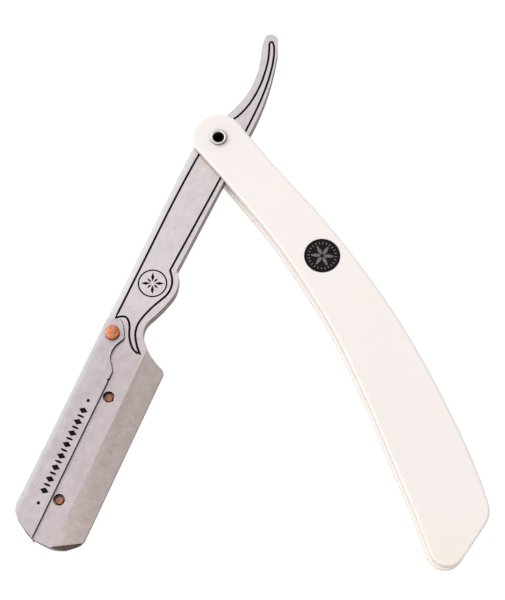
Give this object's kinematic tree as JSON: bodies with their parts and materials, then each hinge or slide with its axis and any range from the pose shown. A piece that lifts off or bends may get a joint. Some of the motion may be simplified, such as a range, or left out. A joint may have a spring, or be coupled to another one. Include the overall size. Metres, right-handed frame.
{
  "type": "folding clamp-blade razor",
  "caption": "Folding barber razor: two-plate steel arm with pinned blade jaws, a swinging spine clip that clamps them, and a curved two-scale handle.",
  "frame": {"origin": "pivot axis at the flat back face of the pivot eyelet, flush with the back of the handle", "axes": "+Z out of the front of the razor along the pivot axis, +Y up the page along the open razor from handle butt to tail, +X to the right, the handle side"},
  "size_m": [0.1073, 0.1351, 0.0074],
  "materials": {
    "steel": "fine ground satin",
    "plated_steel": "polished",
    "copper": "copper colour, satin",
    "ivory": "satin moulded",
    "badge_black": "satin enamel"
  },
  "bodies": {
    "handle": {"scale_front": "ivory", "scale_back": "ivory", "butt_spacer": "ivory", "badge": "badge_black", "pivot_eyelet": "plated_steel"},
    "arm": {"arm_plate_front": "steel", "arm_plate_back": "steel", "locating_pin_1": "copper", "locating_pin_2": "copper", "clip_rivet": "copper"},
    "clip": {"spine_clip": "steel"}
  },
  "joints": [
    {"name": "arm_pivot", "type": "hinge", "parent": "handle", "child": "arm", "pos_m": [0, 0, 0], "axis": [0, 0, 1], "range_deg": [-210, 47.5]},
    {"name": "clip_pivot", "type": "hinge", "parent": "arm", "child": "clip", "pos_m": [-0.02464, -0.05014, 0], "axis": [0, 0, 1], "range_deg": [-110, 0]}
  ]
}
